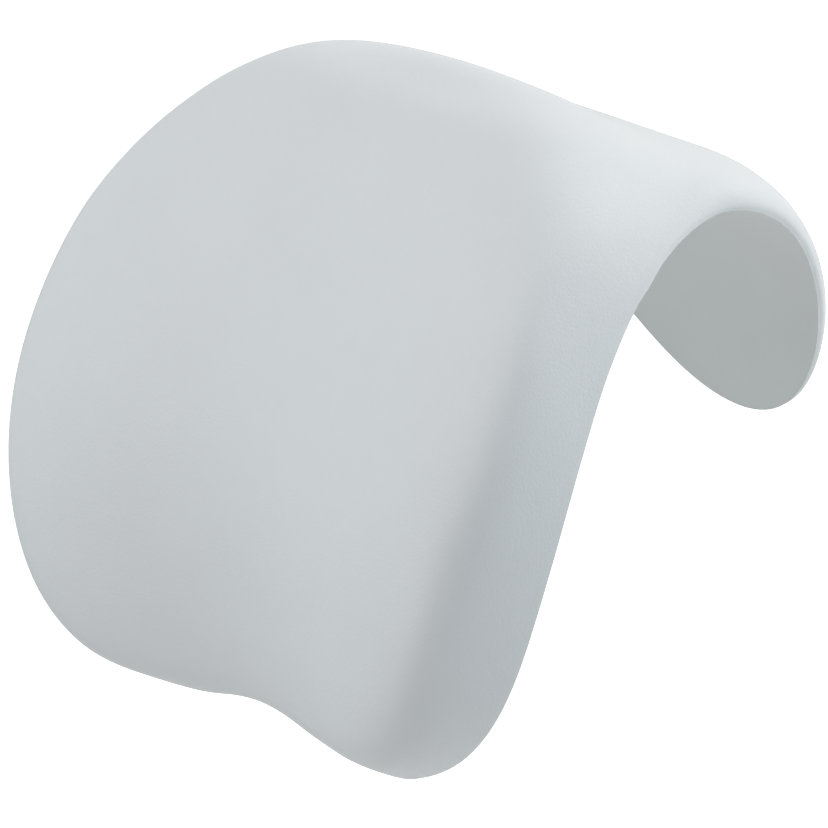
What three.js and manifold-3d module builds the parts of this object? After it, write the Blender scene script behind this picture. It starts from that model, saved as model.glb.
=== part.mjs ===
// Bath pillow: a soft head pad on the front leg of a springy arch that hangs over the wall of a tub.
// Millimetres, +Z up, X along the tub wall, +Y towards the outside of the tub. The origin is the crest
// of the arch's inside face, where the pillow sits on the wall.
//
// The pillow is drawn as a flat pattern that is bent over a side profile. A point of the pattern has an
// x across the pillow and an s along the profile, and stands a height h above the inside face.

import * as THREE from 'three';
import Module from 'manifold-3d';

// Side profile of the inside face: the flat back of the pad, the front shoulder, the crest and the hook
const BACK_REACH = 124.3;
const BACK_DROP = 195.8;
const BACK_LEAN = 11.5;
const BACK_FLAT = 60;
const SHOULDER_HANDLE = 34.2;
const CREST_FRONT_HANDLE = 78.1;
const CREST_REAR_HANDLE = 60.4;
const HOOK_REACH = 101.3;
const HOOK_DROP = 116.3;
const HOOK_CURL = -23.1;
const HOOK_HANDLE = 36.9;

// Rim outline of the flat pattern: neck notch, two lower lobes, widest place, waist and the hook's tongue
const NOTCH_RISE = 7.1;
const NOTCH_HANDLE = 24.8;
const LOBE_X = 73.9;
const LOBE_HANDLE = 46;
const HALF_WIDTH = 140;
const WIDEST_S = 98.4;
const LOBE_ROUND = 0.58;
const SIDE_HANDLE = 83.9;
const WAIST_HALF_WIDTH = 106;
const WAIST_S = 258.8;
const WAIST_LOW_HANDLE = 22.8;
const WAIST_HIGH_HANDLE = 21.3;
const WAIST_SLOPE = 0.073;
const TONGUE_HANDLE = 67.8;

// Raised head pad: it fills the lower outline, and a round top closes it
const PAD_TOP_S = 251.3;
const PAD_SIDE_HANDLE = 134.5;
const PAD_TOP_HANDLE = 55.4;
const PAD_LEAVE = 41.6;
const PAD_DEPTH_BOTTOM = 28.4;
const PAD_DEPTH_NECK = 38.5;
const PAD_DEPTH_HEAD = 38.4;
const PAD_DEPTH_TOP = 41.9;
const NECK_S = 83.1;
const HEAD_S = 157.9;
const TOP_S = 228.6;

// Rounding of the pad's edge: width of the rounded band, and exponents of its foot and its shoulder
const SIDE_BAND = 14.6;
const BOTTOM_BAND = 36.1;
const BOTTOM_BAND_TURN = 2;
const TOP_BAND = 74.3;
const TOP_BAND_TURN = 2;
const CORNER_BAND = 9.5;
const SIDE_FOOT = 0.52;
const SIDE_SHOULDER = 2.44;
const TOP_FOOT = 2;
const TOP_SHOULDER = 2.27;
const TOP_TURN_START = 0.13;
const TOP_TURN_END = 1.14;

// Neck trough down the lower middle of the pad
const TROUGH_DEPTH = 24.5;
const TROUGH_WIDTH = 67.9;
const TROUGH_LENGTH = 239.1;
const TROUGH_FADE = 1.43;

// Crown of the arch, thickest along the middle and thin at the rim
const ARCH_CROWN = 14.5;
const PAD_CROWN = 5.2;
const CROWN_BAND = 59.1;
const CROWN_ROUND = 1.94;
const CROWN_START_S = 166.2;
const CROWN_FULL_S = 249.3;

// Skins, foam and the gap between layers that are bonded in the real pillow
const SKIN = 1.2;
const LINING = 1.2;
const GAP = 0.3;
const FOAM_SPLIT_S = 240;

// Spring strips in grooves of the foam, with a moulded tip on each end
const STRIP_X = 38;
const STRIP_WIDTH = 16;
const STRIP_THICKNESS = 1.2;
const STRIP_START_S = 120;
const STRIP_END_S = 346;
const TIP_WALL = 1;
const TIP_LENGTH = 14;
const TIP_POCKET = 10;

// Facets: steps of each stretch of the rim, rings inside the rim as shares of the way to the middle line,
// and a block of columns and rows inside the rings
const NOTCH_STEPS = 3;
const LOBE_STEPS = 7;
const SIDE_STEPS = 12;
const TONGUE_STEPS = 13;
const RINGS = [0, 0.014, 0.048, 0.105];
const BLOCK_SHARE = 0.2;
const COLUMNS = 12;
const EVENING_ROUNDS = 400;
const STEEP_PULL = 0.6;
const MIDDLE_LOW_S = 100;
const MIDDLE_HIGH_S = 335;
const CENTRE_S = 134.6;
const STRIP_STEP = 8;
const SLOPE_STEP = 0.05;

const wasm = await Module();
wasm.setup();

const smooth = THREE.MathUtils.smoothstep;
const lerp = THREE.MathUtils.lerp;

// The side profile, with x standing for Y and y for Z
function sideProfile() {
  const lean = THREE.MathUtils.degToRad(BACK_LEAN);
  const curl = THREE.MathUtils.degToRad(HOOK_CURL);
  const up = new THREE.Vector2(Math.sin(lean), Math.cos(lean));
  const foot = new THREE.Vector2(-BACK_REACH, -BACK_DROP);
  const shoulder = foot.clone().addScaledVector(up, BACK_FLAT);
  const crest = new THREE.Vector2(0, 0);
  const tip = new THREE.Vector2(HOOK_REACH, -HOOK_DROP);
  const upFromTip = new THREE.Vector2(Math.sin(curl), Math.cos(curl));
  const aboveTip = tip.clone().addScaledVector(upFromTip, HOOK_HANDLE);
  const aboveShoulder = shoulder.clone().addScaledVector(up, SHOULDER_HANDLE);
  const beforeCrest = new THREE.Vector2(-CREST_FRONT_HANDLE, 0);
  const afterCrest = new THREE.Vector2(CREST_REAR_HANDLE, 0);
  const path = new THREE.CurvePath();
  path.add(new THREE.LineCurve(foot, shoulder));
  path.add(new THREE.CubicBezierCurve(shoulder, aboveShoulder, beforeCrest, crest));
  path.add(new THREE.CubicBezierCurve(crest, afterCrest, aboveTip, tip));
  return path;
}

const profile = sideProfile();
const PROFILE_LENGTH = profile.getLength();

// A point of the bent pattern in space
function place(x, s, h) {
  const along = THREE.MathUtils.clamp(s, 0, PROFILE_LENGTH);
  const t = along / PROFILE_LENGTH;
  const foot = profile.getPoint(t);
  const direction = profile.getTangent(t);
  const past = s - along;
  const y = foot.x + direction.x * past - direction.y * h;
  const z = foot.y + direction.y * past + direction.x * h;
  return new THREE.Vector3(x, y, z);
}

// Stretches of the right half of the rim, from the neck notch round to the hook's end
function rimStretches() {
  const v = (x, s) => new THREE.Vector2(x, s);
  const notch = v(0, NOTCH_RISE);
  const lobe = v(LOBE_X, 0);
  const widest = v(HALF_WIDTH, WIDEST_S);
  const waist = v(WAIST_HALF_WIDTH, WAIST_S);
  const tongue = v(0, PROFILE_LENGTH);
  const lobeOut = v(lerp(LOBE_X, HALF_WIDTH, LOBE_ROUND), 0);
  const widestDown = v(HALF_WIDTH, WIDEST_S * (1 - LOBE_ROUND));
  const waistAt = (rise) => v(WAIST_HALF_WIDTH - WAIST_SLOPE * rise, WAIST_S + rise);
  const waistDown = waistAt(-WAIST_LOW_HANDLE);
  const waistUp = waistAt(WAIST_HIGH_HANDLE);
  return {
    notch: new THREE.CubicBezierCurve(notch, v(NOTCH_HANDLE, NOTCH_RISE), v(LOBE_X - LOBE_HANDLE, 0), lobe),
    lobe: new THREE.CubicBezierCurve(lobe, lobeOut, widestDown, widest),
    side: new THREE.CubicBezierCurve(widest, v(HALF_WIDTH, WIDEST_S + SIDE_HANDLE), waistDown, waist),
    tongue: new THREE.CubicBezierCurve(waist, waistUp, v(TONGUE_HANDLE, PROFILE_LENGTH), tongue),
    padTop: new THREE.CubicBezierCurve(
      widest, v(HALF_WIDTH, WIDEST_S + PAD_SIDE_HANDLE), v(PAD_TOP_HANDLE, PAD_TOP_S), v(0, PAD_TOP_S)),
  };
}

const rim = rimStretches();

function chain(stretches) {
  const points = [stretches[0][0].getPoint(0)];
  for (const [curve, steps] of stretches) {
    points.push(...curve.getPoints(steps).slice(1));
  }
  return points;
}

// Distance from the pattern's centre to an outline, in the direction of a point
function outlineReach(stretches) {
  const finest = 60;
  const polar = chain(stretches.map((curve) => [curve, finest])).map((point) => ({
    angle: Math.atan2(point.x, CENTRE_S - point.y),
    reach: Math.hypot(point.x, point.y - CENTRE_S),
  }));
  return (x, s) => {
    const angle = Math.atan2(Math.abs(x), CENTRE_S - s);
    const after = polar.findIndex((entry) => entry.angle >= angle);
    if (after < 1) return after < 0 ? polar.at(-1).reach : polar[0].reach;
    const low = polar[after - 1];
    const high = polar[after];
    return lerp(low.reach, high.reach, (angle - low.angle) / (high.angle - low.angle));
  };
}

const rimReach = outlineReach([rim.notch, rim.lobe, rim.side, rim.tongue]);
const padReach = outlineReach([rim.notch, rim.lobe, rim.padTop]);

// Depth of the pad along the profile, as a smooth curve through its four stations
function padDepth(s) {
  const stations = [0, NECK_S, HEAD_S, TOP_S];
  const depths = [PAD_DEPTH_BOTTOM, PAD_DEPTH_NECK, PAD_DEPTH_HEAD, PAD_DEPTH_TOP];
  const at = THREE.MathUtils.clamp(s, 0, TOP_S);
  const i = at < NECK_S ? 0 : at < HEAD_S ? 1 : 2;
  const rise = (k) => (depths[k + 1] - depths[k]) / (stations[k + 1] - stations[k]);
  const slope = (k) => (k === 0 ? rise(0) : k === 3 ? rise(2) : (rise(k - 1) + rise(k)) / 2);
  const span = stations[i + 1] - stations[i];
  const t = (at - stations[i]) / span;
  const keep = 2 * t ** 3 - 3 * t ** 2 + 1;
  return keep * depths[i] + (1 - keep) * depths[i + 1]
    + (t ** 3 - 2 * t ** 2 + t) * span * slope(i) + (t ** 3 - t ** 2) * span * slope(i + 1);
}

// Distance of the pad's edge from the centre: it follows the rim, and leaves it gently for the round top
function padEdgeReach(x, s) {
  const toRim = rimReach(x, s);
  const apart = Math.max(toRim - padReach(x, s), 0);
  return toRim - (apart < PAD_LEAVE ? apart ** 2 / (2 * PAD_LEAVE) : apart - PAD_LEAVE / 2);
}

// Height of the cover's outside above the inside face
const RIM_EDGE = LINING + GAP + SKIN;

function coverHeight(x, s) {
  const reach = Math.hypot(x, s - CENTRE_S);
  const upward = reach === 0 ? 0 : (s - CENTRE_S) / reach;
  const fromRim = Math.max(rimReach(x, s) - reach, 0);
  const fromPadEdge = Math.max(padEdgeReach(x, s) - reach, 0);
  const crown = lerp(PAD_CROWN, ARCH_CROWN, smooth(s, CROWN_START_S, CROWN_FULL_S));
  const crownIn = Math.min(fromRim / CROWN_BAND, 1);
  const arch = crown * (1 - (1 - crownIn) ** CROWN_ROUND) ** (1 / CROWN_ROUND);
  const turn = smooth(upward, TOP_TURN_START, TOP_TURN_END);
  const cornerShare = 4 * upward ** 2 * (1 - upward ** 2);
  const band = upward > 0
    ? lerp(SIDE_BAND, TOP_BAND, upward ** TOP_BAND_TURN) + CORNER_BAND * cornerShare
    : lerp(SIDE_BAND, BOTTOM_BAND, (-upward) ** BOTTOM_BAND_TURN);
  const padIn = Math.min(fromPadEdge / band, 1);
  const swell = 1 - (1 - padIn ** lerp(SIDE_FOOT, TOP_FOOT, turn)) ** lerp(SIDE_SHOULDER, TOP_SHOULDER, turn);
  const fade = Math.max(1 - s / TROUGH_LENGTH, 0) ** TROUGH_FADE;
  const trough = TROUGH_DEPTH * Math.exp(-((x / TROUGH_WIDTH) ** 2)) * fade;
  return RIM_EDGE + arch + swell * (padDepth(s) - trough);
}

// How much longer a height is than the thickness that it stands for, where the cover slopes
function slopeFactor(x, s) {
  const acrossRise = (coverHeight(x + SLOPE_STEP, s) - coverHeight(x - SLOPE_STEP, s)) / (2 * SLOPE_STEP);
  const alongRise = (coverHeight(x, s + SLOPE_STEP) - coverHeight(x, s - SLOPE_STEP)) / (2 * SLOPE_STEP);
  return Math.hypot(1, acrossRise, alongRise);
}

function rimPoints() {
  const right = chain([
    [rim.notch, NOTCH_STEPS], [rim.lobe, LOBE_STEPS], [rim.side, SIDE_STEPS], [rim.tongue, TONGUE_STEPS]]);
  const left = right.slice(1, -1).reverse().map((point) => new THREE.Vector2(-point.x, point.y));
  return [...right, ...left];
}

const edge = rimPoints();
const AROUND = edge.length;

function towardsMiddle(point, share) {
  const middle = new THREE.Vector2(0, THREE.MathUtils.clamp(point.y, MIDDLE_LOW_S, MIDDLE_HIGH_S));
  return point.clone().lerp(middle, share);
}

// Moves every point past the fixed ones to the middle of its neighbours, until the grid is even. Points on
// a steep part of the cover pull harder, so that the grid is finer there.
function evenOut(points, quads, fixed) {
  const neighbours = points.map(() => new Set());
  for (const quad of quads) {
    quad.forEach((corner, k) => neighbours[corner].add(quad[(k + 1) % 4]).add(quad[(k + 3) % 4]));
  }
  let even = points;
  for (let round = 0; round < EVENING_ROUNDS; round += 1) {
    const last = even;
    const pull = last.map((point, i) => (i < fixed ? 1 : slopeFactor(point.x, point.y) ** STEEP_PULL));
    even = last.map((point, i) => {
      if (i < fixed) return point;
      const sum = new THREE.Vector2();
      let total = 0;
      for (const j of neighbours[i]) {
        sum.addScaledVector(last[j], pull[j]);
        total += pull[j];
      }
      return sum.divideScalar(total);
    });
  }
  return even;
}

// The pattern's grid: rings along the rim, then a block of columns and rows whose border is the last ring
function patternGrid() {
  const corner = COLUMNS / 2;
  const rows = AROUND / 2 - COLUMNS;
  const ringStart = RINGS.length * AROUND;
  const border = (j) => ringStart + ((j + AROUND) % AROUND);
  const blockAt = (row, column) => {
    if (row === 0) return border(column - corner);
    if (row === rows) return border(corner + rows + COLUMNS - column);
    if (column === 0) return border(-corner - row);
    if (column === COLUMNS) return border(corner + row);
    return ringStart + AROUND + (row - 1) * (COLUMNS - 1) + column - 1;
  };
  const points = [...RINGS, BLOCK_SHARE].flatMap((share) => edge.map((point) => towardsMiddle(point, share)));
  for (let row = 1; row < rows; row += 1) {
    const [left, right] = [points[blockAt(row, 0)], points[blockAt(row, COLUMNS)]];
    for (let column = 1; column < COLUMNS; column += 1) {
      points.push(left.clone().lerp(right, column / COLUMNS));
    }
  }
  const quads = [];
  for (let a = 0; a < ringStart; a += 1) {
    const b = a % AROUND === AROUND - 1 ? a + 1 - AROUND : a + 1;
    quads.push([a, b, b + AROUND, a + AROUND]);
  }
  for (let row = 0; row < rows; row += 1) {
    for (let column = 0; column < COLUMNS; column += 1) {
      const lower = [blockAt(row, column), blockAt(row, column + 1)];
      quads.push([...lower, blockAt(row + 1, column + 1), blockAt(row + 1, column)]);
    }
  }
  return { points: evenOut(points, quads, ringStart), quads };
}

// Heights of the layers at each point of the grid. The cover is cut square to the lining at the rim.
function layerHeights(point, index) {
  const outside = coverHeight(point.x, point.y);
  const factor = index < AROUND ? 1 : slopeFactor(point.x, point.y);
  const inside = Math.max(outside - SKIN * factor, LINING + GAP);
  return { x: point.x, s: point.y, outside, inside, foam: inside - GAP * factor };
}

const pattern = patternGrid();
const skinGrid = { nodes: pattern.points.map(layerHeights), quads: pattern.quads };

// The foam stops one ring short of the rim
const foamGrid = {
  nodes: skinGrid.nodes.slice(AROUND),
  quads: skinGrid.quads.slice(AROUND).map((quad) => quad.map((corner) => corner - AROUND)),
};

function facetted(points, triangles) {
  const geometry = new THREE.BufferGeometry().setFromPoints(points);
  geometry.setIndex(triangles);
  return geometry;
}

// The two triangles of a four-sided facet, parted by the diagonal that lies closer to the cover
function halves(quad, nodes) {
  const [a, b, c, d] = quad.map((corner) => nodes[corner]);
  const middle = coverHeight((a.x + b.x + c.x + d.x) / 4, (a.s + b.s + c.s + d.s) / 4);
  const missOnAC = Math.abs((a.outside + c.outside) / 2 - middle);
  const missOnBD = Math.abs((b.outside + d.outside) / 2 - middle);
  const corners = missOnAC < missOnBD ? [0, 1, 2, 0, 2, 3] : [0, 1, 3, 1, 2, 3];
  return corners.map((corner) => quad[corner]);
}

// A closed layer of the pillow between two heights over a grid, with a wall along its first ring
function layer({ nodes, quads }, lower, upper) {
  const points = [lower, upper].flatMap((height) => nodes.map((node) => place(node.x, node.s, height(node))));
  const top = nodes.length;
  const triangles = [];
  for (const quad of quads) {
    const facet = halves(quad, nodes);
    triangles.push(...facet.map((corner) => corner + top));
    triangles.push(...facet.reverse());
  }
  for (let a = 0; a < AROUND; a += 1) {
    const b = (a + 1) % AROUND;
    triangles.push(a, b, b + top, a, b + top, a + top);
  }
  return facetted(points, triangles);
}

// A flat bar bent along the profile
function bentBar(x0, x1, s0, s1, h0, h1) {
  const stations = [s0];
  for (let k = Math.floor(s0 / STRIP_STEP) + 1; k * STRIP_STEP < s1; k += 1) stations.push(k * STRIP_STEP);
  stations.push(s1);
  const section = [[x0, h0], [x1, h0], [x1, h1], [x0, h1]];
  const points = stations.flatMap((s) => section.map(([x, h]) => place(x, s, h)));
  const triangles = [0, 1, 2, 0, 2, 3];
  for (let k = 0; k < stations.length - 1; k += 1) {
    for (let side = 0; side < 4; side += 1) {
      const a = 4 * k + side;
      const b = 4 * k + ((side + 1) % 4);
      triangles.push(a, a + 4, b, b, a + 4, b + 4);
    }
  }
  const end = 4 * (stations.length - 1);
  triangles.push(end, end + 2, end + 1, end, end + 3, end + 2);
  return facetted(points, triangles);
}

function toSolid(geometry) {
  const { position } = geometry.attributes;
  return new wasm.Manifold(new wasm.Mesh({
    numProp: 3,
    vertProperties: new Float32Array(position.array),
    triVerts: new Uint32Array(geometry.getIndex().array),
  }));
}

function toGeometry(solid) {
  const { vertProperties, triVerts } = solid.getMesh();
  const geometry = new THREE.BufferGeometry();
  geometry.setAttribute('position', new THREE.BufferAttribute(new Float32Array(vertProperties), 3));
  geometry.setIndex([...triVerts]);
  return geometry;
}

// Heights of a strip and of its tips: the tip lies on the lining, and the strip in the tip's pocket
const TIP_LOW = LINING + GAP;
const STRIP_LOW = TIP_LOW + TIP_WALL + GAP;
const STRIP_HIGH = STRIP_LOW + STRIP_THICKNESS;
const TIP_HIGH = STRIP_HIGH + GAP + TIP_WALL;
const TIP_FRONT_S = STRIP_START_S - (TIP_LENGTH - TIP_POCKET);
const TIP_REAR_S = STRIP_END_S + (TIP_LENGTH - TIP_POCKET);
const TIP_HALF_WIDTH = STRIP_WIDTH / 2 + GAP + TIP_WALL;

// The strip of one side, or its space when it is grown by a gap and the groove opens down to the lining
function strip(side, grow = 0, low = STRIP_LOW) {
  const x = side * STRIP_X;
  const half = STRIP_WIDTH / 2 + grow;
  return bentBar(x - half, x + half, STRIP_START_S - grow, STRIP_END_S + grow, low - grow, STRIP_HIGH + grow);
}

function tipBlock(side, s0, s1, grow = 0, low = TIP_LOW) {
  const x = side * STRIP_X;
  const half = TIP_HALF_WIDTH + grow;
  return bentBar(x - half, x + half, s0 - grow, s1 + grow, low - grow, TIP_HIGH + grow);
}

function stripTip(side, s0, s1) {
  return toGeometry(toSolid(tipBlock(side, s0, s1)).subtract(toSolid(strip(side, GAP))));
}

// The foam is one form, cut across into a soft pad and a firmer arch, with grooves for the strips
function foamBlocks() {
  let form = toSolid(layer(foamGrid, () => LINING + GAP, (node) => node.foam));
  for (const side of [-1, 1]) {
    form = form.subtract(toSolid(strip(side, GAP, 0)));
    for (const [s0, s1] of [[TIP_FRONT_S, TIP_FRONT_S + TIP_LENGTH], [TIP_REAR_S - TIP_LENGTH, TIP_REAR_S]]) {
      form = form.subtract(toSolid(tipBlock(side, s0, s1, GAP, 0)));
    }
  }
  const beyond = HALF_WIDTH + PAD_DEPTH_TOP;
  const front = (s) => toSolid(bentBar(-beyond, beyond, -beyond, s, -LINING, beyond));
  return {
    pad: toGeometry(form.intersect(front(FOAM_SPLIT_S - GAP / 2))),
    arch: toGeometry(form.subtract(front(FOAM_SPLIT_S + GAP / 2))),
  };
}

function material(color, roughness, metalness = 0) {
  return new THREE.MeshStandardMaterial({ color, roughness, metalness });
}

function piece(name, geometry, finish) {
  geometry.computeVertexNormals();
  const mesh = new THREE.Mesh(geometry, finish);
  mesh.name = name;
  return mesh;
}

const coverGrey = material(0xccd1d3, 0.75);
const liningGrey = material(0xbfc4c6, 0.6);
const softFoam = material(0xe6e2d6, 0.95);
const firmFoam = material(0xd6d2c8, 0.95);
const springSteel = material(0x9a9da0, 0.35, 1);
const tipPlastic = material(0x3a3d40, 0.6);

const pillow = new THREE.Group();
const foam = foamBlocks();
pillow.add(piece('cover_skin', layer(skinGrid, (node) => node.inside, (node) => node.outside), coverGrey));
pillow.add(piece('lining_skin', layer(skinGrid, () => 0, () => LINING), liningGrey));
pillow.add(piece('pad_foam', foam.pad, softFoam));
pillow.add(piece('arch_foam', foam.arch, firmFoam));
for (const [hand, side] of [['left', -1], ['right', 1]]) {
  pillow.add(piece(`spring_strip_${hand}`, strip(side), springSteel));
  const frontTip = stripTip(side, TIP_FRONT_S, TIP_FRONT_S + TIP_LENGTH);
  const rearTip = stripTip(side, TIP_REAR_S - TIP_LENGTH, TIP_REAR_S);
  pillow.add(piece(`strip_tip_${hand}_front`, frontTip, tipPlastic));
  pillow.add(piece(`strip_tip_${hand}_rear`, rearTip, tipPlastic));
}

export default pillow;
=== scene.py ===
import math

import bpy
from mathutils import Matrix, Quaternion, Vector


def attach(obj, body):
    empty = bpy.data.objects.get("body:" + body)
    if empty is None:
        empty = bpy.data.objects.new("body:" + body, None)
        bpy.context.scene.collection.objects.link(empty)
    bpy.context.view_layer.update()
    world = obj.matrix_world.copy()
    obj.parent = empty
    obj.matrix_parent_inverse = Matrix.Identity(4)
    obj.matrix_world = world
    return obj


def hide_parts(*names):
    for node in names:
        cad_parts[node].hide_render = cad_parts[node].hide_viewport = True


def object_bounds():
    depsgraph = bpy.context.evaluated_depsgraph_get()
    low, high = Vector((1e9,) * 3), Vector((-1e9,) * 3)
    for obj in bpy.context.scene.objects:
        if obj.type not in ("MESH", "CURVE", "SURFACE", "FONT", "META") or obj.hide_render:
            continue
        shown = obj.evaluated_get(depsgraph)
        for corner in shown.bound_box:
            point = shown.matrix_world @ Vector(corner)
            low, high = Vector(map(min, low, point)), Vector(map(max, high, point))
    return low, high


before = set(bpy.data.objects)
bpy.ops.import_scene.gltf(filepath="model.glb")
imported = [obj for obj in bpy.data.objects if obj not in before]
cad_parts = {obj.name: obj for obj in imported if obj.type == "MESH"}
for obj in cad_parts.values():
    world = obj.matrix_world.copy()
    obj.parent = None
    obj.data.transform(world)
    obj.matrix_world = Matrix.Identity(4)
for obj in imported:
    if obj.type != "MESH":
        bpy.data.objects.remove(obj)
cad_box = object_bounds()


# Lining skin: the smooth sheet inside the arch and on the back of the pad, which lies against the tub
# wall. A soft polyurethane skin, moulded in one and bonded to the foam, with its edge trimmed square.
def pick_alone(piece):
    bpy.ops.object.select_all(action="DESELECT")
    piece.select_set(True)
    bpy.context.view_layer.objects.active = piece


def soft_form(name, node, sharp_from, levels, fatten, easing, hem=0):
    """A smooth piece with a CAD node's form: its facets are paired to quads, and a subdivision surface that
    runs through the node's corners rounds them. Edges at more than sharp_from degrees stay sharp. The piece
    grows by fatten, its corners away from the lining are eased towards their neighbours, and it settles with
    the rest of the pillow, alike on its left and right. The corners of its edge that lie next to the lining
    reach hem further, over the lining's edge. The lining itself, made first, has no easing."""
    same_place = 1e-6
    at_lining = 0.0008
    beside_lining = 0.0022
    fairing_rounds = 6
    # Each row is the middle of a small move of the soft form, its reach along each axis and its size there.
    settling = [
        # The crest: fuller behind the pad's top, lower on the arch
        ((0, -0.028, 0.034), (0.055, 0.013, 0.030), (0, 0, 0.0036)),
        ((0.010, -0.006, 0.028), (0.032, 0.011, 0.030), (0, 0, -0.0040)),
        # The pad's side: the ridge further out and back, the rim a little wider
        ((0.136, -0.113, -0.036), (0.013, 0.013, 0.023), (0.0030, 0.0024, 0)),
        ((0.139, -0.130, -0.072), (0.013, 0.013, 0.023), (0.0030, 0.0024, 0)),
        ((0.136, -0.095, -0.075), (0.030, 0.020, 0.045), (0.0008, 0, 0)),
        # The shoulders of the arch, the pad's upper corners and its lower corners
        ((0.099, -0.006, 0.010), (0.016, 0.020, 0.016), (0.0008, 0, 0.0014)),
        ((0.104, -0.080, 0.013), (0.028, 0.030, 0.028), (0.0014, 0, 0.0014)),
        ((0.120, -0.124, -0.165), (0.030, 0.050, 0.032), (0.0018, -0.0006, -0.0010)),
    ]
    piece = bpy.data.objects.new(name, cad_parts[node].data.copy())
    bpy.context.scene.collection.objects.link(piece)
    pick_alone(piece)
    bpy.ops.object.mode_set(mode="EDIT")
    bpy.ops.mesh.select_mode(type="EDGE")
    bpy.ops.mesh.select_all(action="SELECT")
    bpy.ops.mesh.remove_doubles(threshold=same_place)
    bpy.ops.mesh.tris_convert_to_quads(face_threshold=math.pi, shape_threshold=math.pi)
    bpy.ops.mesh.select_all(action="DESELECT")
    bpy.ops.mesh.edges_select_sharp(sharpness=math.radians(sharp_from))
    bpy.ops.transform.edge_crease(value=1)
    bpy.ops.mesh.select_mode(type="VERT")
    bpy.ops.object.mode_set(mode="OBJECT")
    corners = piece.data.vertices
    if easing:
        gaps = [(lining.closest_point_on_mesh(corner.co)[1] - corner.co).length for corner in corners]
        for corner, gap in zip(corners, gaps):
            corner.select = gap > beside_lining
        if hem:
            for edge in piece.data.edges:
                under, over = sorted(edge.vertices, key=lambda i: gaps[i])
                if gaps[under] < at_lining < gaps[over] < beside_lining:
                    wall = corners[under].co - corners[over].co
                    corners[under].co += wall.normalized() * hem
        bpy.ops.object.mode_set(mode="EDIT")
        bpy.ops.mesh.vertices_smooth(factor=easing)
        bpy.ops.object.mode_set(mode="OBJECT")
    bpy.ops.object.mode_set(mode="EDIT")
    bpy.ops.mesh.select_all(action="SELECT")
    bpy.ops.transform.shrink_fatten(value=fatten)
    bpy.ops.object.mode_set(mode="OBJECT")
    for corner in piece.data.vertices:
        hand = math.copysign(1, corner.co.x)
        at = Vector((abs(corner.co.x), corner.co.y, corner.co.z))
        for middle, reach, move in settling:
            share = math.exp(-sum(((a - m) / r) ** 2 for a, m, r in zip(at, middle, reach)))
            corner.co += Vector((hand * move[0], move[1], move[2])) * share
    rounding = piece.modifiers.new("Rounding", "SUBSURF")
    rounding.levels = 1
    wanted = [corner.co.copy() for corner in piece.data.vertices]
    for _ in range(fairing_rounds):
        rounded = piece.evaluated_get(bpy.context.evaluated_depsgraph_get()).data
        reached = [rounded.vertices[i].co.copy() for i in range(len(wanted))]
        for corner, goal, now in zip(piece.data.vertices, wanted, reached):
            corner.co += goal - now
        piece.data.update()
    rounding.levels = rounding.render_levels = levels
    bpy.ops.object.modifier_apply(modifier=rounding.name)
    bpy.ops.object.shade_smooth_by_angle(angle=math.radians(sharp_from))
    return piece


def skin_material(name, colour, mottle_depth, grain_size, grain_depth):
    """A matt moulded skin: a faint mottle in its colour, and an even fine grain pressed into it."""
    mottle_scale = 22
    mottle_detail = 4
    mottle_low, mottle_high = 0.3, 0.7
    press_strength = 0.6
    matt = 0.6
    skin_ior = 1.46
    skin = bpy.data.materials.new(name)
    skin.use_nodes = True
    nodes, links = skin.node_tree.nodes, skin.node_tree.links
    surface = nodes["Principled BSDF"]
    place = nodes.new("ShaderNodeTexCoord")
    mottle = nodes.new("ShaderNodeTexNoise")
    mottle.inputs["Scale"].default_value = mottle_scale
    mottle.inputs["Detail"].default_value = mottle_detail
    tint = nodes.new("ShaderNodeValToRGB")
    darker, paler = tint.color_ramp.elements
    darker.position, paler.position = mottle_low, mottle_high
    darker.color = (*(channel * (1 - mottle_depth) for channel in colour), 1)
    paler.color = (*(channel * (1 + mottle_depth) for channel in colour), 1)
    grain = nodes.new("ShaderNodeTexVoronoi")
    grain.feature = "SMOOTH_F1"
    grain.inputs["Scale"].default_value = 1 / grain_size
    press = nodes.new("ShaderNodeBump")
    press.inputs["Strength"].default_value = press_strength
    press.inputs["Distance"].default_value = grain_depth
    links.new(place.outputs["Object"], mottle.inputs["Vector"])
    links.new(place.outputs["Object"], grain.inputs["Vector"])
    links.new(mottle.outputs["Fac"], tint.inputs["Fac"])
    links.new(tint.outputs["Color"], surface.inputs["Base Color"])
    links.new(grain.outputs["Distance"], press.inputs["Height"])
    links.new(press.outputs["Normal"], surface.inputs["Normal"])
    surface.inputs["Roughness"].default_value = matt
    surface.inputs["IOR"].default_value = skin_ior
    return skin


# The lining's colour is the skin's own pale grey, set a little darker than the cover's as painted shade
# inside the hook.
lining_grey_and_painted_shade = (0.612, 0.638, 0.645)
lining = soft_form("lining", "lining_skin", sharp_from=50, levels=2, fatten=-0.0003, easing=0)
lining.data.materials.clear()
lining.data.materials.append(
    skin_material("lining_grey_and_painted_shade", lining_grey_and_painted_shade, mottle_depth=0.012, grain_size=0.0006, grain_depth=0.00003))
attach(lining, "root")
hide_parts("lining_skin")


# Spring strips: two rolled steel strips, bent over the arch and sunk in grooves of its foam, which give the
# hook its grip. Moulded polypropylene tips are pushed on their ends.
steel_grey = (0.32, 0.34, 0.35, 1)
rolling_marks = (3000, 60, 60)
polished, dulled = 0.25, 0.45
steel = bpy.data.materials.new("rolled_spring_steel")
steel.use_nodes = True
steel_nodes, steel_links = steel.node_tree.nodes, steel.node_tree.links
steel_surface = steel_nodes["Principled BSDF"]
steel_surface.inputs["Base Color"].default_value = steel_grey
steel_surface.inputs["Metallic"].default_value = 1
steel_place = steel_nodes.new("ShaderNodeTexCoord")
rolling = steel_nodes.new("ShaderNodeMapping")
rolling.inputs["Scale"].default_value = rolling_marks
streaks = steel_nodes.new("ShaderNodeTexNoise")
streaks.inputs["Scale"].default_value = 1
dulling = steel_nodes.new("ShaderNodeMapRange")
dulling.inputs["To Min"].default_value = polished
dulling.inputs["To Max"].default_value = dulled
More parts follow.
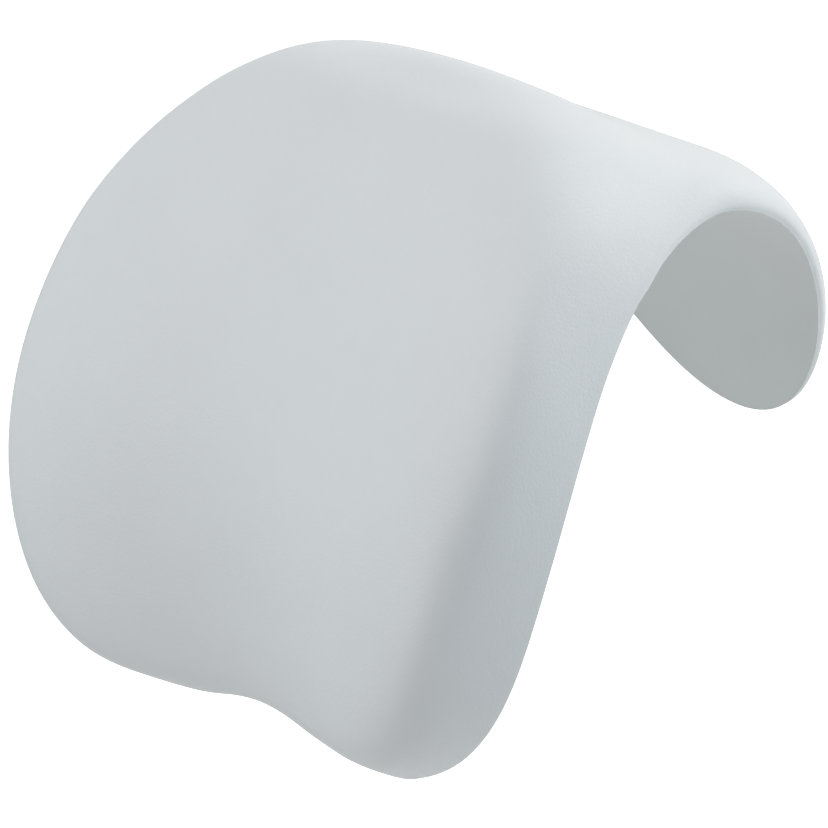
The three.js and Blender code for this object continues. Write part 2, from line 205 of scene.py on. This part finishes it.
steel_links.new(steel_place.outputs["Object"], rolling.inputs["Vector"])
steel_links.new(rolling.outputs["Vector"], streaks.inputs["Vector"])
steel_links.new(streaks.outputs["Fac"], dulling.inputs["Value"])
steel_links.new(dulling.outputs["Result"], steel_surface.inputs["Roughness"])

tip_black = (0.042, 0.047, 0.051, 1)
tip_roughness = 0.55
tip_grain_scale = 1800
tip_grain_depth = 0.00003
moulded = bpy.data.materials.new("moulded_polypropylene")
moulded.use_nodes = True
moulded_nodes, moulded_links = moulded.node_tree.nodes, moulded.node_tree.links
moulded_surface = moulded_nodes["Principled BSDF"]
moulded_surface.inputs["Base Color"].default_value = tip_black
moulded_surface.inputs["Roughness"].default_value = tip_roughness
moulded_place = moulded_nodes.new("ShaderNodeTexCoord")
moulded_grain = moulded_nodes.new("ShaderNodeTexNoise")
moulded_grain.inputs["Scale"].default_value = tip_grain_scale
moulded_bump = moulded_nodes.new("ShaderNodeBump")
moulded_bump.inputs["Distance"].default_value = tip_grain_depth
moulded_links.new(moulded_place.outputs["Object"], moulded_grain.inputs["Vector"])
moulded_links.new(moulded_grain.outputs["Fac"], moulded_bump.inputs["Height"])
moulded_links.new(moulded_bump.outputs["Normal"], moulded_surface.inputs["Normal"])

for hand in ("left", "right"):
    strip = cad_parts[f"spring_strip_{hand}"]
    strip.data.materials.clear()
    strip.data.materials.append(steel)
    for end in ("front", "rear"):
        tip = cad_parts[f"strip_tip_{hand}_{end}"]
        tip.data.materials.clear()
        tip.data.materials.append(moulded)


# Foam: a soft block that fills the head pad and a firmer one that makes the arch and the hook. Open-cell
# polyurethane, cut to meet across the crest, with grooves for the strips, and glued to both skins.
def foam_material(name, colour, cell_size):
    open_cell = 0.95
    pore_painted_shade = 0.72
    pore_depth = cell_size / 3
    foam = bpy.data.materials.new(name)
    foam.use_nodes = True
    nodes, links = foam.node_tree.nodes, foam.node_tree.links
    surface = nodes["Principled BSDF"]
    surface.inputs["Roughness"].default_value = open_cell
    place = nodes.new("ShaderNodeTexCoord")
    cells = nodes.new("ShaderNodeTexVoronoi")
    cells.inputs["Scale"].default_value = 1 / cell_size
    tint = nodes.new("ShaderNodeValToRGB")
    # The pores are painted darker than the foam around them: painted shade in their hollows.
    tint.color_ramp.elements[0].color = (*(channel * pore_painted_shade for channel in colour), 1)
    tint.color_ramp.elements[1].color = (*colour, 1)
    pores = nodes.new("ShaderNodeBump")
    pores.inputs["Distance"].default_value = pore_depth
    links.new(place.outputs["Object"], cells.inputs["Vector"])
    links.new(cells.outputs["Distance"], tint.inputs["Fac"])
    links.new(tint.outputs["Color"], surface.inputs["Base Color"])
    links.new(cells.outputs["Distance"], pores.inputs["Height"])
    links.new(pores.outputs["Normal"], surface.inputs["Normal"])
    return foam


foams = [
    ("pad_block", "pad_foam", "soft_foam", (0.79, 0.76, 0.67), 0.0012),
    ("arch_block", "arch_foam", "firm_foam", (0.68, 0.64, 0.58), 0.0007),
]
for foam_name, foam_node, foam_slot, foam_colour, foam_cell in foams:
    block = soft_form(foam_name, foam_node, sharp_from=50, levels=1, fatten=-0.0008, easing=0.5)
    block.data.materials.clear()
    block.data.materials.append(foam_material(foam_slot, foam_colour, foam_cell))
    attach(block, "root")
    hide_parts(foam_node)


# Cover skin: the pale grey grained skin over the head pad and the top of the arch. Soft polyurethane,
# moulded in one piece with the pad's hollow for the neck, and bonded to the foam all over.
cover_grey = (0.635, 0.665, 0.683)
cover = soft_form("cover", "cover_skin", sharp_from=70, levels=3, fatten=0, easing=0.5, hem=0.0013)
cover.data.materials.clear()
cover.data.materials.append(
    skin_material("cover_grey", cover_grey, mottle_depth=0.010, grain_size=0.0010, grain_depth=0.00015))
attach(cover, "root")
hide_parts("cover_skin")


# Stage: a pale floor far enough below the pillow that it hangs as on a tub wall, a white room that lights
# it only faintly, and six soft square panels around it.
floor_drop = 0.35
floor_width = 12
floor_glow = 0.9
floor_white = (0.9, 0.9, 0.9, 1)
floor_roughness = 0.9
low, high = cad_box
bpy.ops.mesh.primitive_plane_add(size=floor_width, location=(0, 0, low[2] - floor_drop))
floor = bpy.context.object
floor.name = "floor"
floor_paint = bpy.data.materials.new("floor_white")
floor_paint.use_nodes = True
floor_nodes, floor_links = floor_paint.node_tree.nodes, floor_paint.node_tree.links
floor_surface = floor_nodes["Principled BSDF"]
floor_surface.inputs["Base Color"].default_value = floor_white
floor_surface.inputs["Roughness"].default_value = floor_roughness
floor_surface.inputs["Emission Color"].default_value = (1, 1, 1, 1)
floor_path = floor_nodes.new("ShaderNodeLightPath")
floor_level = floor_nodes.new("ShaderNodeMath")
floor_level.operation = "MULTIPLY"
floor_level.inputs[1].default_value = floor_glow
floor_links.new(floor_path.outputs["Is Camera Ray"], floor_level.inputs[0])
floor_links.new(floor_level.outputs["Value"], floor_surface.inputs["Emission Strength"])
floor.data.materials.append(floor_paint)

ambient_strength = 0.03
world = bpy.data.worlds.new("white_room")
world.use_nodes = True
bpy.context.scene.world = world
world_nodes, world_links = world.node_tree.nodes, world.node_tree.links
sky = world_nodes["Background"]
sky.inputs["Color"].default_value = (1, 1, 1, 1)
path = world_nodes.new("ShaderNodeLightPath")
seen = world_nodes.new("ShaderNodeMath")
seen.operation = "MAXIMUM"
seen_all = world_nodes.new("ShaderNodeMath")
seen_all.operation = "MAXIMUM"
level = world_nodes.new("ShaderNodeMapRange")
level.inputs["To Min"].default_value = ambient_strength
level.inputs["To Max"].default_value = 1
world_links.new(path.outputs["Is Camera Ray"], seen.inputs[0])
world_links.new(path.outputs["Is Glossy Ray"], seen.inputs[1])
world_links.new(seen.outputs["Value"], seen_all.inputs[0])
world_links.new(path.outputs["Is Transmission Ray"], seen_all.inputs[1])
world_links.new(seen_all.outputs["Value"], level.inputs["Value"])
world_links.new(level.outputs["Result"], sky.inputs["Strength"])

panel_distance = 1.8


def panel(name, azimuth, elevation, size, power, colour=(1, 1, 1)):
    """A square soft light that faces the pillow. Azimuth 0 is in front of the pad, and grows to its right."""
    turn, rise = math.radians(azimuth), math.radians(elevation)
    way = Vector((math.sin(turn) * math.cos(rise), -math.cos(turn) * math.cos(rise), math.sin(rise)))
    light = bpy.data.lights.new(name, "AREA")
    light.size = size
    light.energy = power
    light.color = colour
    lamp = bpy.data.objects.new(name, light)
    middle = (low + high) / 2
    lamp.location = middle + way * panel_distance
    lamp.rotation_euler = (-way).to_track_quat("-Z", "Y").to_euler()
    bpy.context.scene.collection.objects.link(lamp)


panel("front_panel", azimuth=8, elevation=40, size=1.2, power=17.2)
panel("left_panel", azimuth=-30, elevation=60, size=1.0, power=10)
panel("low_left_panel", azimuth=-60, elevation=-8, size=1.0, power=4.8, colour=(0.88, 1, 1))
panel("rear_panel", azimuth=164, elevation=31, size=1.4, power=25, colour=(1, 0.97, 0.95))
panel("rear_left_panel", azimuth=-140, elevation=35, size=1.4, power=3.3)
panel("right_panel", azimuth=117, elevation=12, size=1.0, power=10.6, colour=(0.88, 0.975, 1))


# Camera: a long lens, a little above the pillow and well to the right of the pad, so that the pad's front,
# its side and the inside of the hook all show.
camera_turn = 51.0
camera_rise = 15.38
camera_distance = 3.784
camera_lens = 445.4
camera_sensor = 36
camera_aim = (-0.0028, -0.0540, -0.0912)
camera_roll = 0.18
camera_reach = 20
turn, rise = math.radians(camera_turn), math.radians(camera_rise)
camera = bpy.data.objects.new("camera", bpy.data.cameras.new("camera"))
camera.location = Vector(
    (math.sin(turn) * math.cos(rise), -math.cos(turn) * math.cos(rise), math.sin(rise))) * camera_distance
aim = (Vector(camera_aim) - camera.location).to_track_quat("-Z", "Y")
camera.rotation_euler = (aim @ Quaternion((0, 0, 1), math.radians(camera_roll))).to_euler()
camera.data.lens = camera_lens
camera.data.sensor_width = camera_sensor
camera.data.clip_end = camera_reach
bpy.context.scene.collection.objects.link(camera)
bpy.context.scene.camera = camera
bpy.context.scene.view_settings.view_transform = "Standard"
